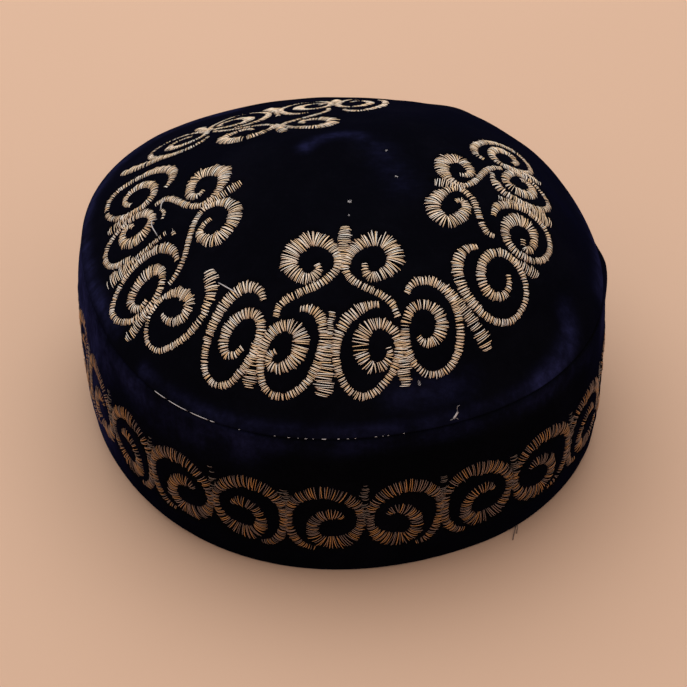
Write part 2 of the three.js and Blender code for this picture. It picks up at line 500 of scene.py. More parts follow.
# Charts of the embroidery: across, out from the middle of the crown, width of the stitch
CROWN_MOTIF = {
    "inner scroll left": [
        (-11, 3.5, 1.5), (-7.5, 4, 3.2), (-4.5, 6, 3.8), (-2.8, 9.5, 3.2), (-2.3, 13.5, 3), (-2.9, 17.5, 3),
        (-4.8, 21.2, 2.8), (-8, 23.8, 2.6), (-12, 24.9, 2.6), (-16, 24.5, 2.6), (-19.5, 22.7, 2.6),
        (-21.8, 19.5, 2.6), (-22.6, 15.5, 3), (-21.6, 11.5, 3.5), (-19, 8.7, 3.8), (-15.5, 7.8, 4),
        (-11.8, 9.2, 4.8), (-9.5, 12.7, 5.6), (-10.5, 16.6, 5), (-13.8, 18.3, 4.2), (-17.5, 18.2, 3.5),
        (-20, 16.5, 3), (-19.6, 14.7, 2.3), (-17.8, 14.2, 1.4),
    ],
    "inner scroll right": [
        (15.2, 1.7, 1.2), (11.6, 2.4, 3), (8, 4.2, 4.5), (5, 6.9, 4.2), (3, 10.6, 3.6), (2.5, 14.7, 3),
        (3.3, 18.4, 2.7), (5.5, 21.7, 2.6), (8.6, 23.9, 2.6), (12.5, 24.8, 2.6), (16.5, 23.7, 2.6),
        (20, 21.1, 2.6), (23, 17.3, 2.6), (24, 13.1, 2.8), (22.8, 9.5, 3.2), (19.7, 7.4, 3.6),
        (15.6, 7, 3.8), (11.8, 9, 4.8), (10.3, 12.7, 5.5), (11.7, 16.3, 4.8), (15.4, 18.3, 4.2),
        (19, 17.2, 3.5), (21.2, 14.7, 2.8), (20.2, 12.7, 1.5),
    ],
    "outer scroll left": [
        (-23.9, -0.5, 1.2), (-25.4, -3.4, 3), (-28.1, -5.4, 4), (-31.2, -5.9, 4.4), (-34.5, -4.6, 4.4),
        (-37.6, -1.9, 4), (-40.1, 2.1, 3.6), (-41.6, 6.6, 3), (-41.8, 11, 2.6), (-40.4, 14.9, 2.5),
        (-37.2, 17.7, 2.4), (-33.4, 18.7, 2.4), (-29.7, 17.6, 2.6), (-26.5, 14.9, 3), (-24.3, 11, 3.2),
        (-23.7, 7.2, 3.4), (-25.2, 3.9, 3.6), (-28.5, 2.3, 3.6), (-32.2, 2.9, 3.8), (-35.2, 5.5, 4),
        (-35.8, 8.8, 3.6), (-34.4, 11.7, 3), (-31.5, 12.4, 2.5), (-29.1, 11.3, 1.5),
    ],
    "outer scroll right": [
        (24, -3.2, 1.2), (25.2, -6.1, 2.6), (27.6, -8.2, 3.2), (31.3, -9.2, 3.4), (35.3, -8.4, 3.2),
        (38.8, -6.1, 3), (41.7, -2.6, 2.8), (43.4, 2, 2.8), (43.6, 6.7, 2.8), (41.9, 10.9, 2.6),
        (38.3, 14, 2.6), (34, 15.4, 2.5), (29.9, 14.6, 2.5), (26.9, 12, 2.8), (25.2, 8, 3), (25.1, 4, 3.4),
        (27.1, 0.4, 3.5), (30.6, -1.3, 3.5), (34.4, -1, 3.8), (37.1, 1.8, 4.4), (36.9, 5.6, 4.2),
        (34.4, 8.2, 3.6), (31.7, 8.8, 2.6), (29.9, 8, 1.5),
    ],
    "top scroll left": [
        (-19.2, 4.9, 1.2), (-18.5, 2.1, 2.4), (-15.6, -0.1, 2.8), (-11.4, -1.7, 2.8), (-7.1, -3.3, 2.8),
        (-3.5, -5.6, 2.8), (-1, -8.9, 2.8), (-1, -12.7, 2.8), (-3, -16.3, 3.4), (-6.3, -19.6, 5),
        (-10.4, -21.2, 6), (-14.3, -18.8, 6), (-17, -15, 6), (-17.4, -11.2, 6), (-14.8, -7.9, 5),
        (-11.4, -6.1, 4.2), (-8.3, -6.5, 3.4), (-6.7, -8.7, 2.6), (-7.8, -10.6, 1.5),
    ],
    "top scroll right": [
        (22.1, 4.2, 1.2), (20.2, 1.5, 2.4), (16.6, -0.9, 2.6), (12.4, -2.3, 2.6), (8.2, -3.7, 2.6),
        (4.6, -5.5, 2.6), (2.2, -8.5, 2.6), (2.2, -12.2, 2.8), (3.8, -16.1, 3.6), (6.8, -19.8, 5),
        (10.7, -21.6, 5.6), (14.8, -20.7, 5.8), (17.7, -17.4, 6), (19, -13.8, 6), (17.5, -10.4, 5),
        (14.5, -7.8, 4.2), (11.5, -6.6, 3.6), (9.2, -8.1, 2.8), (8.5, -11.1, 1.5),
    ],
}
CROWN_BUDS = {
    "stem bud": [
        (-0.3, -26, 3), (0, -23.4, 4.6), (0.3, -20, 4.6), (0.5, -16.2, 4), (0.6, -12.5, 3.2),
        (0.8, -8.7, 2.2),
    ],
    "middle fan": [
        (-0.4, 5, 1.5), (-0.4, 9.6, 2.4), (-0.3, 13.9, 2.8), (-0.2, 18.3, 4.8), (-0.2, 21.4, 7),
        (-0.1, 23.9, 7), (-0.2, 25.4, 4),
    ],
    "side bud left": [(-24.5, 11.9, 2), (-25.2, 16.3, 4), (-25.4, 19.2, 5), (-25.6, 21, 3)],
    "side bud right": [(24.3, 8.4, 2), (25.6, 14, 3.8), (26.9, 17.6, 4.8), (27.4, 20, 3)],
}
CORNER_BUD = [(37, -8.8, 2), (42.6, -5.1, 3.6), (46.9, -2.3, 4.6), (51.5, 0.8, 5), (53.1, 2, 3)]

MOTIFS = ("front", "right", "back", "left")
CORNER_BUD_ON = ("front", "back")
# The front motif lies flat on the plan: its middle, the azimuth it faces, its stretch across and out
FRONT_MIDDLE = (-5.4, -62.4)
FRONT_AZIMUTH = -4.65
FRONT_STRETCH = (0.998, 0.947)
# The others are pulled askew by hand: points of the chart, and the plan points where they lie
PULL_POINTS = [
    (-0.3, -25.9), (-10, -12.9), (11.6, -13.9), (-0.1, 24.6), (-15.9, 13.8), (16.2, 12.1), (-30.1, 7.9),
    (31, 4.2),
]
PULLED_TO = {
    "right": [
        (25.4, -15.4), (31, -25.8), (34.5, -7.6), (69.6, -16), (57.4, -29.3), (59.5, -4.9), (48.5, -47.8),
        (56.7, 11),
    ],
    "back": [
        (-24.2, 19.4), (-15.1, 26.6), (-37.4, 25.6), (-27.6, 66), (-12.8, 57), (-40.6, 44.5), (2, 55.4),
        (-55.6, 38.7),
    ],
    "left": [
        (-41.2, -10.4), (-52.4, -3.6), (-48, -26), (-85.2, -22.9), (-76.7, -5.9), (-71, -37), (-74.2, 11.7),
        (-61.9, -49.1),
    ],
}
# Faults of the work: rows at the start of a chart that were never stitched, and a chart worked otherwise
UNSTITCHED = {("left", "inner scroll left"): 5}
REWORKED = [("left", "outer scroll right")]

# One scroll of the band: across, height above the ground, width of the stitch
BAND_SCROLL = [
    (-4.5, 13.8, 2.2), (-8, 15.2, 3), (-10.8, 19, 3.6), (-12.3, 24, 3.2), (-12.6, 30, 2.8),
    (-12, 35.5, 3.4), (-9.5, 40, 4.6), (-5, 42.8, 5.6), (0, 43.5, 6), (5, 42, 5.4), (9, 38.8, 4.8),
    (11.4, 34.5, 3.4), (12, 29.5, 2.8), (11.2, 24.5, 3.6), (8.5, 20, 5.6), (4, 17.3, 7), (0, 17.2, 6.8),
    (-3, 19.5, 5.5),
    (-4.6, 23.5, 4.6), (-4, 28, 4.6), (-1.5, 31.5, 4.8), (2, 33, 5), (4.5, 32.2, 3.6), (5.5, 31, 2.2),
]
# The spindle between two scrolls: across, height, width
BAND_SPINDLE = [(0, 45.5, 1.5), (0, 42, 3), (0, 37, 3.2), (0, 32, 2.6), (0, 27, 1.6)]
BAND_SCROLLS = 22
FIRST_SCROLL = -3.8
SCROLL_RADIUS = 93.5
CHART_STEP = 0.4
STITCH_SPREAD = {"front": 1.14, "right": 1.05, "back": 0.95, "left": 1.05}
BAND_SPREAD = 1.1
NARROWEST_STITCH = 2.2
# How far the band's units stray by hand: turn in degrees, height, share of their breadth
SCROLL_SWAY = 0.25
SCROLL_LIFT = 0.7
SCROLL_SWELL = 0.02
SPINDLE_SWAY = 0.3
SPINDLE_LIFT = 0.6
WORK_SEED = 11
LINT_SEED = 13


def smooth_line(rows):
    """A smooth curve through the rows of a chart, in short steps."""
    points = np.array(rows, float)
    points = np.vstack([2 * points[0] - points[1], points, 2 * points[-1] - points[-2]])
    pieces = []
    for first in range(len(points) - 3):
        before, start, end, after = points[first:first + 4]
        steps = max(2, round(np.linalg.norm((end - start)[:2]) / CHART_STEP))
        share = np.linspace(0, 1, steps, endpoint=False)[:, None]
        pieces.append(0.5 * (
            2 * start + (end - before) * share
            + (2 * before - 5 * start + 4 * end - after) * share ** 2
            + (3 * start - before - 3 * end + after) * share ** 3
        ))
    return np.vstack(pieces + [points[-2:-1]])


def laid_flat(chart):
    """Plan points of the front motif's chart."""
    turn = math.radians(FRONT_AZIMUTH)
    across = np.array([math.cos(turn), math.sin(turn)])
    out = np.array([math.sin(turn), -math.cos(turn)])
    wide, long = FRONT_STRETCH
    return np.array(FRONT_MIDDLE) + wide * chart[:, :1] * across + long * chart[:, 1:] * out


def pulled(sources, targets, points):
    """A smooth bend of the plan that carries each source point to its target."""
    def bend(ends, starts):
        square = ((ends[:, None] - starts[None]) ** 2).sum(-1)
        return square * np.log(square + TINY)

    sources = np.array(sources)
    count = len(sources)
    flat = np.column_stack([np.ones(count), sources])
    system = np.block([[bend(sources, sources), flat], [flat.T, np.zeros((3, 3))]])
    weights = np.linalg.solve(system, np.vstack([targets, np.zeros((3, 2))]))
    return np.column_stack([bend(points, sources), np.ones(len(points)), points]) @ weights


def buds_of(motif):
    """The charts of a motif's buds."""
    return CROWN_BUDS | {"corner bud": CORNER_BUD} if motif in CORNER_BUD_ON else CROWN_BUDS


def crown_stroke(plan, width):
    """A stroke over plan points of the crown, as points, outward directions and widths."""
    return crown_at(plan), crown_facing(plan), width


def crown_strokes(motif, charts):
    """The charts of one motif laid on the crown."""
    strokes = []
    for name, chart in charts.items():
        if (motif, name) in REWORKED:
            continue
        line = smooth_line(chart[UNSTITCHED.get((motif, name), 0):])
        if motif in PULLED_TO:
            plan = pulled(PULL_POINTS, PULLED_TO[motif], line[:, :2])
        else:
            plan = laid_flat(line[:, :2])
        width = np.maximum(line[:, 2], NARROWEST_STITCH) * STITCH_SPREAD[motif]
        strokes.append(crown_stroke(plan, width))
    return strokes


def band_stroke(chart, azimuth, mirror=1, lift=0.0, swell=1.0):
    """A chart laid on the band, as points, outward directions and widths."""
    line = smooth_line(chart)
    strip = np.column_stack([
        math.radians(azimuth) + mirror * swell * line[:, 0] / SCROLL_RADIUS,
        line[:, 1] + lift,
    ])
    return band_at(strip), band_facing(strip), line[:, 2] * BAND_SPREAD


def band_strokes():
    """The scrolls of the band, every other one turned about, and the spindles between them."""
    chance = np.random.default_rng(WORK_SEED)
    spacing = 360 / BAND_SCROLLS
    scrolls = []
    spindles = []
    for place in range(BAND_SCROLLS):
        azimuth = FIRST_SCROLL + place * spacing
        lift, swell, sway = chance.uniform(-1, 1, 3)
        scrolls.append(band_stroke(
            BAND_SCROLL, azimuth + SCROLL_SWAY * sway,
            mirror=1 if place % 2 == 0 else -1, lift=SCROLL_LIFT * lift, swell=1 + SCROLL_SWELL * swell,
        ))
        between = azimuth + spacing / 2 + SPINDLE_SWAY * sway
        spindles.append(band_stroke(BAND_SPINDLE, between, lift=SPINDLE_LIFT * swell))
    return scrolls, spindles


# Geometry trees: fineness of a stitch, then its build as shares of its length, thickness and height
STITCH_STEPS = 5
STITCH_SIDES = 5
STRAND_SIDES = 6
TYPICAL_STITCH = 3.6
SHOULDER = 0.42
ENDS_THINNED = 0.5
LEAST_HEIGHT = 0.65
MOST_HEIGHT = 1.25


def tree_with(name, inputs):
    """A new geometry tree with named inputs, and a way to ask for them."""
    tree = bpy.data.node_groups.new(name, "GeometryNodeTree")
    for socket, kind in ({"Geometry": "Geometry"} | inputs).items():
        tree.interface.new_socket(socket, in_out="INPUT", socket_type=f"NodeSocket{kind}")
    tree.interface.new_socket("Geometry", in_out="OUTPUT", socket_type="NodeSocketGeometry")
    graph = Graph(tree)
    given = tree.nodes.new("NodeGroupInput")

    def asked(socket):
        return Wire(graph, given.outputs[socket])

    return graph, asked


def stored(graph, geometry, name, value, kind="FLOAT", domain="POINT"):
    return graph.node(
        "GeometryNodeStoreNamedAttribute",
        {"data_type": kind, "domain": domain},
        {"Geometry": geometry, "Name": name, "Value": value},
    )


def carried(graph, name, kind="FLOAT"):
    settings = {"data_type": kind}
    return graph.node("GeometryNodeInputNamedAttribute", settings, {"Name": name}, out="Attribute")


def stepped(graph, lines, step):
    """The lines of a mesh as curves, with their points a step apart."""
    curves = graph.node("GeometryNodeMeshToCurve", {}, {"Mesh": lines})
    return graph.node("GeometryNodeResampleCurve", {"mode": "LENGTH"}, {"Curve": curves, "Length": step})


def thread_round(graph, thickness, sides):
    """The section of a thread, whose points know how far round they are."""
    sockets = {"Resolution": sides, "Radius": thickness * 0.5}
    ring = graph.node("GeometryNodeCurvePrimitiveCircle", {}, sockets)
    return stored(graph, ring, "around", graph.node("GeometryNodeSplineParameter", out="Factor"))


def ended(graph, geometry, material):
    """The close of every tree: real faces, smooth, with their material."""
    geometry = graph.node("GeometryNodeRealizeInstances", {}, {"Geometry": geometry})
    geometry = graph.node("GeometryNodeSetShadeSmooth", {}, {"Geometry": geometry})
    geometry = graph.node("GeometryNodeSetMaterial", {}, {"Geometry": geometry, "Material": material})
    end = graph.tree.nodes.new("NodeGroupOutput")
    graph.feed(end.inputs["Geometry"], geometry)


def satin_tree():
    """Arched stitches side by side along each stroke, square to it and as long as the stroke is wide."""
    graph, asked = tree_with("satin stitches", {
        "Pitch": "Float", "Thread": "Float", "Flatness": "Float", "Loft": "Float", "Dip": "Float",
        "Paired": "Float", "Slant": "Float", "Ragged": "Float", "Missed": "Float", "Seed": "Int",
        "Material": "Material",
    })

    # One stitch, a unit long across the stroke, flat on top and thinner where it enters the cloth.
    # The shoulders stand so high that the middle of the arch lies at the loft.
    foot = 0 - asked("Dip")
    shoulder = asked("Loft") * (4 / 3) + asked("Dip") / 3
    arch = graph.node("GeometryNodeCurvePrimitiveBezierSegment", {}, {
        "Resolution": STITCH_STEPS,
        "Start": graph.combined(y=-0.5, z=foot),
        "Start Handle": graph.combined(y=-SHOULDER, z=shoulder),
        "End Handle": graph.combined(y=SHOULDER, z=shoulder),
        "End": graph.combined(y=0.5, z=foot),
    })
    along = graph.node("GeometryNodeSplineParameter", out="Factor")
    stitch = graph.node("GeometryNodeCurveToMesh", {}, {
        "Curve": stored(graph, arch, "along", along),
        "Profile Curve": thread_round(graph, asked("Thread"), STITCH_SIDES),
        "Scale": 1 - abs(along * 2 - 1) ** 4 * ENDS_THINNED,
        "Fill Caps": True,
    })

    # Where the stitches lie, a little out of step
    line = stepped(graph, asked("Geometry"), asked("Pitch"))
    line = stored(graph, line, "heading", graph.node("GeometryNodeInputTangent"), "FLOAT_VECTOR")
    out = carried(graph, "out", "FLOAT_VECTOR")
    heading = carried(graph, "heading", "FLOAT_VECTOR")
    side = graph.vector("CROSS_PRODUCT", out, heading)
    width = carried(graph, "width")
    seed = asked("Seed")
    to_and_fro = graph.math("MODULO", graph.node("GeometryNodeInputIndex"), 2) * 2 - 1
    ahead = to_and_fro * asked("Paired") + graph.random(-0.2, 0.2, seed)
    ahead = graph.scaled(heading, ahead * asked("Pitch"))
    aside = graph.scaled(side, graph.random(-0.5, 0.5, seed + 1) * asked("Ragged") * width)
    heaped = graph.scaled(out, graph.random(-0.25, 0.35, seed + 9) * asked("Thread"))
    line = graph.node("GeometryNodeSetPosition", {}, {
        "Geometry": line, "Offset": graph.vector("ADD", graph.vector("ADD", ahead, aside), heaped),
    })

    # How each stitch is turned, sized and shaded
    turned = graph.node("FunctionNodeAlignRotationToVector", {"axis": "Z"}, {"Vector": out})
    turned = graph.node("FunctionNodeAlignRotationToVector", {"axis": "X", "pivot_axis": "Z"}, {
        "Rotation": turned, "Vector": heading,
    })
    lean = graph.node("FunctionNodeEulerToRotation", {}, {
        "Euler": graph.combined(
            x=graph.random(-0.05, 0.05, seed + 2),
            z=graph.random(-1.0, 1.0, seed + 3) * asked("Slant"),
        ),
    })
    turned = graph.node("FunctionNodeRotateRotation", {"rotation_space": "LOCAL"}, {
        "Rotation": turned, "Rotate By": lean,
    })
    reach = width * (1 + graph.random(-1.0, 1.0, seed + 4) * asked("Ragged"))
    plump = graph.node("ShaderNodeClamp", {}, {
        "Value": width / (TYPICAL_STITCH * MM) * graph.random(0.8, 1.2, seed + 5),
        "Min": LEAST_HEIGHT,
        "Max": MOST_HEIGHT,
    })
    thick = asked("Flatness") * graph.random(0.72, 1.2, seed + 6)
    kept = graph.node("FunctionNodeRandomValue", {"data_type": "BOOLEAN"}, {
        "Probability": 1 - asked("Missed"), "Seed": seed + 8,
    })
    laid = graph.node("GeometryNodeInstanceOnPoints", {}, {
        "Points": line,
        "Selection": kept,
        "Instance": stitch,
        "Rotation": turned,
        "Scale": graph.combined(thick, reach, plump),
    })
    laid = stored(graph, laid, "tone", graph.random(0.0, 1.0, seed + 7), domain="INSTANCE")
    laid = stored(graph, laid, "warmth", graph.random(0.0, 1.0, seed + 10), domain="INSTANCE")
    laid = stored(graph, laid, "span", width, domain="INSTANCE")
    ended(graph, laid, asked("Material"))
    return graph.tree


def strand_tree():
    """A round thread along each line."""
    graph, asked = tree_with("loose strands", {"Thread": "Float", "Step": "Float", "Material": "Material"})
    line = stepped(graph, asked("Geometry"), asked("Step"))
    line = stored(graph, line, "along", graph.node("GeometryNodeSplineParameter", out="Factor"))
    line = stored(graph, line, "span", graph.node("GeometryNodeSplineParameter", out="Length"))
    strand = graph.node("GeometryNodeCurveToMesh", {}, {
        "Curve": line,
        "Profile Curve": thread_round(graph, asked("Thread"), STRAND_SIDES),
        "Fill Caps": True,
    })
    ended(graph, strand, asked("Material"))
    return graph.tree


def line_mesh(name, lines):
    """A mesh of open lines, each an array of points."""
    edges = []
    start = 0
    for line in lines:
        edges += [(place, place + 1) for place in range(start, start + len(line) - 1)]
        start += len(line)
    mesh = bpy.data.meshes.new(name)
    mesh.from_pydata((np.vstack(lines) * MM).tolist(), edges, [])
    return mesh


def stroke_mesh(name, strokes):
    """Lines whose points carry the outward direction and the width of the stitch there."""
    points, directions, widths = zip(*strokes)
    mesh = line_mesh(name, points)
    out = mesh.attributes.new("out", "FLOAT_VECTOR", "POINT")
    out.data.foreach_set("vector", np.vstack(directions).ravel())
    width = mesh.attributes.new("width", "FLOAT", "POINT")
    width.data.foreach_set("value", np.concatenate(widths) * MM)
    return mesh


def placed(name, data):
    """A new object in the scene."""
    thing = bpy.data.objects.new(name, data)
    bpy.context.scene.collection.objects.link(thing)
    return thing


def grown(name, mesh, tree, inputs):
    """An object whose mesh a geometry tree has grown on a line mesh."""
    piece = placed(name, mesh)
    modifier = piece.modifiers.new("grown", "NODES")
    modifier.node_group = tree
    for socket in tree.interface.items_tree:
        if socket.in_out == "INPUT" and socket.name in inputs:
            modifier[socket.identifier] = inputs[socket.name]
    bpy.context.view_layer.update()
    depsgraph = bpy.context.evaluated_depsgraph_get()
    result = bpy.data.meshes.new_from_object(piece.evaluated_get(depsgraph))
    piece.modifiers.remove(modifier)
    piece.data = result
    bpy.data.meshes.remove(mesh)
    result.name = name
    return piece


def worn(piece):
    """Every piece moves with the cap."""
    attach(piece, "root")


# Velvet shells
def pressed(points, normals, strokes):
    """Velvet drawn in under the stitches and swollen beside them."""
    middles, _, widths = (np.concatenate(part) for part in zip(*strokes))
    tree = KDTree(len(middles))
    for place, middle in enumerate(middles):
        tree.insert(middle, place)
    tree.balance()
    moved = np.zeros(len(points))
    for place, point in enumerate(points):
        _, nearest, away = tree.find(point)
        beyond = away - widths[nearest] / 2
        if beyond < 0:
            moved[place] = -PRESS_DEPTH * min(1, -beyond / PRESS_RAMP)
        elif beyond < 2 * PRESS_MARGIN:
            moved[place] = PRESS_SWELL * math.sin(math.pi * beyond / (2 * PRESS_MARGIN))
    return points + normals * moved[:, None]


def shell(name, grid, inside, loop, naps_and_sheen, materials):
    """A closed mesh over rings of points: a loop's last ring meets its first, other grids end in points."""
    rings, segments = grid.shape[:2]
    number = np.arange(rings * segments).reshape(rings, segments)
    # All of the first ring, and all of the last, is one point
    if not loop:
        number = np.clip(number - segments + 1, 0, (rings - 2) * segments + 1)
    kept = np.unique(number, return_index=True)[1]
    faces = []
    corners = []
    backs = []
    for ring in range(rings if loop else rings - 1):
        upper = (ring + 1) % rings
        for segment in range(segments):
            after = (segment + 1) % segments
            places = [(ring, segment), (ring, after), (upper, after), (upper, segment)]
            turns = [segment, segment + 1, segment + 1, segment]
            face = []
            marks = []
            for (row, column), turn in zip(places, turns):
                vertex = int(number[row, column])
                if vertex not in face:
                    face.append(vertex)
                    marks.append((turn / segments, row / rings))
            faces.append(face)
            corners += marks
            backs.append(1 if inside[ring] and inside[upper] else 0)
    mesh = bpy.data.meshes.new(name)
    mesh.from_pydata((grid.reshape(-1, 3)[kept] * MM).tolist(), [], faces)
    chart = mesh.uv_layers.new(name="weave")
    chart.data.foreach_set("uv", np.array(corners).ravel())
    mesh.attributes.new("nap", "FLOAT", "POINT").data.foreach_set("value", naps_and_sheen.ravel()[kept])
    mesh.polygons.foreach_set("material_index", backs)
    mesh.polygons.foreach_set("use_smooth", [True] * len(faces))
    for material in materials:
        mesh.materials.append(material)
    work = bmesh.new()
    work.from_mesh(mesh)
    bmesh.ops.recalc_face_normals(work, faces=work.faces)
    work.to_mesh(mesh)
    work.free()
    return placed(name, mesh)


# Brushed-up pile and painted sheen on the crown: a line of places as azimuth and reach, its spread, its
# strength
CROWN_NAP_AND_SHEEN = [
    ([(44, 94), (51, 93), (56, 91), (59, 86)], 4.0, 0.65),
    ([(75, 93), (90, 93.5), (106, 94)], 4.0, 0.5),
    ([(-104, 18.6), (-129, 15.2), (-160, 12.7), (-190, 10)], 2.6, 0.5),
    ([(141, 5.8), (71, 9.4), (47, 15), (40, 23)], 5.5, 0.16),
    ([(12, 87.5), (19, 88), (28, 88)], 5.0, 0.25),
    ([(-62, 92), (-80, 93), (-105, 93), (-130, 92), (-155, 91)], 3.0, 0.5),
    ([(-48, 93), (-20, 93.5), (0, 93.5), (20, 93.5), (44, 93.5)], 2.4, 0.32),
]
# Brushed-up pile and painted sheen on the band: a line of places as azimuth and height, its spread, its
# strength
BAND_NAP_AND_SHEEN = [
    ([(-92, 60), (-80, 42), (-78, 14)], 19.0, 0.85),
    ([(-70, 60), (-45, 61), (-22, 62)], 8.0, 0.35),
    ([(-20, 63), (0, 64), (30, 64), (60, 62)], 3.5, 0.2),
    ([(74, 56), (84, 50), (92, 40)], 8.0, 0.45),
]
NAP_STEPS = 60


def naps_and_sheen_of(table, surface, points):
    """How far the pile is brushed up and sheen is painted at points near the lines of a table."""
    total = np.zeros(points.shape[:-1])
    for places, spread, strength in table:
        places = np.array(places, float)
        share = np.linspace(0, len(places) - 1, NAP_STEPS)
        turns = np.radians(np.interp(share, range(len(places)), places[:, 0]))
        seconds = np.interp(share, range(len(places)), places[:, 1])
        nearest = np.full(total.shape, np.inf)
        for spot in surface(turns, seconds):
            nearest = np.minimum(nearest, np.linalg.norm(points - spot, axis=-1))
        total += strength * np.exp(-((nearest / spread) ** 2))
    return np.clip(total, 0, 1)


def velvet_crown(strokes, materials):
    azimuth = np.linspace(0, TURN, SEGMENTS, endpoint=False)
    inner = np.linspace(0, SEAM_RADIUS - TURNED_EDGE, INSIDE_RINGS)
    outer = SEAM_RADIUS * np.linspace(0, 1, CROWN_RINGS + 1)[:-1]
    outer = outer[outer < SEAM_RADIUS - FACE_STOP][::-1]

    def ring(radius, height):
        return crown_point(np.full(SEGMENTS, radius), azimuth, height)

    def ceiling(radius):
        under = VELVET_WALL * np.hypot(1, dome_slope(radius, azimuth))
        return np.maximum(dome_height(radius, azimuth) - under, CROWN_FOOT + TURNED_EDGE_RISE)

    def spots(turns, reaches):
        return crown_outside(reaches, turns)

    plan = np.array([around(azimuth, radius, 0)[:, :2] for radius in outer]).reshape(-1, 2)
    plan[-SEGMENTS:] += OFF_THE_POLE
    face = np.array([crown_outside(np.full(SEGMENTS, radius), azimuth) for radius in outer])
    face = pressed(face.reshape(-1, 3), crown_facing(plan), strokes).reshape(face.shape)
    face[-1] = face[-1].mean(axis=0)
    grid = np.vstack([
        [ring(radius, ceiling(radius)) for radius in inner],
        [ring(SEAM_RADIUS - inset, CROWN_FOOT + rise) for inset, rise in TURNED_ROWS],
        face,
    ])
    inside = np.arange(len(grid)) < len(inner) + TURNED_ROWS_BACK
    piece = shell("velvet_crown", grid, inside, False, naps_and_sheen_of(CROWN_NAP_AND_SHEEN, spots, grid), materials)
    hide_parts("crown")
    worn(piece)


def velvet_band(strokes, materials):
    azimuth = np.linspace(0, TURN, SEGMENTS, endpoint=False)
    inner = np.linspace(BAND_HEIGHT - BACK_UNDER_SEAM, BACK_OVER_GROUND, INSIDE_RINGS)
    outer = np.linspace(EDGE_ROUND, BAND_HEIGHT - EDGE_ROUND, BAND_RINGS)

    def ring(inset, height):
        level = np.full(SEGMENTS, height)
        return band_point(band_radius(level) - inset, azimuth, level)

    strip = np.column_stack([np.tile(azimuth, len(outer)), np.repeat(outer, SEGMENTS)])
    face = np.array([band_outside(azimuth, np.full(SEGMENTS, height)) for height in outer])
    face = pressed(face.reshape(-1, 3), band_facing(strip), strokes).reshape(face.shape)
    grid = np.vstack([
        [ring(inset, rise) for inset, rise in RIM_ROWS],
        face,
        [ring(inset, BAND_HEIGHT - fall) for inset, fall in SEAM_ROWS],
        [ring(VELVET_WALL, height) for height in inner],
    ])
    inside = np.arange(len(grid)) >= len(grid) - len(inner)
    piece = shell("velvet_band", grid, inside, True, naps_and_sheen_of(BAND_NAP_AND_SHEEN, band_outside, grid), materials)
    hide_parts("side_band")
    worn(piece)


# Seam topstitch: azimuth where a stitch starts and ends
SEAM_STITCHES = [(-43.4, -39.4), (-39.5, -33.4), (-33.5, -28.3), (-28.4, -27), (-4.5, -3.2), (-1.2, -0.5)]
# The same where only a glimpse shows through the pile
SEAM_GLIMPSES = [
    (-21.9, -21.3), (-14.3, -13.7), (-11.5, -10.7), (-9.4, -9), (-8, -7.1), (-6.3, -5.8), (0.7, 1.5),
    (2.4, 2.9), (6.5, 7.3), (8.1, 8.6), (9.1, 9.8), (12.4, 13.1),
]
SEAM_STITCH_INSET = 0.2
SEAM_STITCH_RISE = 0.25
SEAM_STITCH_DIP = 0.9
SEAM_STEPS_A_DEGREE = 2.5
FEWEST_SEAM_STEPS = 5


def seam_strands(spans):
    """White running stitches at the crown's edge, each arched and dipping into the cloth at its ends."""
    strands = []
    for start, end in spans:
        steps = max(FEWEST_SEAM_STEPS, round((end - start) * SEAM_STEPS_A_DEGREE))
        share = np.linspace(0, 1, steps)
        azimuth = np.radians(start + (end - start) * share)
        radius = np.full(steps, SEAM_RADIUS - SEAM_STITCH_INSET)
        out = crown_facing(around(azimuth, radius, 0)[:, :2])
        arch = SEAM_STITCH_RISE - SEAM_STITCH_DIP * (2 * share - 1) ** 6
        strands.append(crown_outside(radius, azimuth) + out * arch[:, None])
    return strands


def loose_strand(ways):
    """A loose thread over the crown: plan points, each with its height over the velvet."""
    line = smooth_line(ways)
    plan = line[:, :2]
    return crown_at(plan) + crown_facing(plan) * line[:, 2:]


# Threads that jump between strokes or lie loose: plan east, plan north, height over the velvet
JUMP_THREADS = [
    [(-44.8, -50, 0.2), (-41.2, -53.1, 0.6), (-38, -55.6, 0.2)],
    [(-69.2, -8.9, 0.2), (-70.5, -9.2, 0.9), (-70.2, -13.1, 1.2), (-69, -18.2, 0.2)],
    [(-66, -0.6, 0.3), (-67, -2.8, 0.9), (-67.7, -5, 0.4)],
]
# Work outside the chart, by the faults of the left motif: plan east, plan north, width
STRAY_WORK = {
    "tangle": [(-67.8, -4.6, 2.0), (-66.9, -7.4, 2.4), (-67.6, -10.2, 1.8)],
    "stub": [(-64.1, -19.4, 2.2), (-63.4, -22.4, 2.4)],
    "fat scroll": [
        (-48.9, -44.1, 5), (-48.1, -47, 7.2), (-47.2, -50.6, 6.6), (-47.4, -54.1, 5.6), (-49.7, -58.2, 4.2),
        (-53.9, -60.6, 3.4), (-58.9, -61, 3), (-64.2, -59.8, 2.6), (-68.1, -56, 2.6), (-69.7, -52, 2.8),
        (-69.3, -48.6, 3), (-67.2, -45.8, 3.4), (-63.7, -44.5, 4), (-59.3, -45.7, 5), (-55.5, -49.6, 5.6),
        (-54.5, -52.7, 5.4), (-56.2, -54.7, 5), (-59.6, -54.7, 4.2), (-62.8, -52.3, 3), (-64.3, -49.8, 2),
    ],
}
# A loose end over the seam: its plump end, then the hairs about it
SEAM_END = [(37.3, -86, 0.1), (37.9, -85.2, 0.5), (38.4, -84.5, 0.6)]
SEAM_HAIRS = [
    [(38.3, -84.6, 0.5), (38.0, -83.9, 0.9), (38.4, -83.4, 1.0), (39, -83.3, 0.7)],
    [(37.4, -85.9, 0.2), (36.8, -86.2, 0.5), (36.1, -86.6, 0.2)],
    [(37.5, -85.8, 0.2), (38.2, -85.6, 0.6), (38.9, -85.6, 0.2)],
]
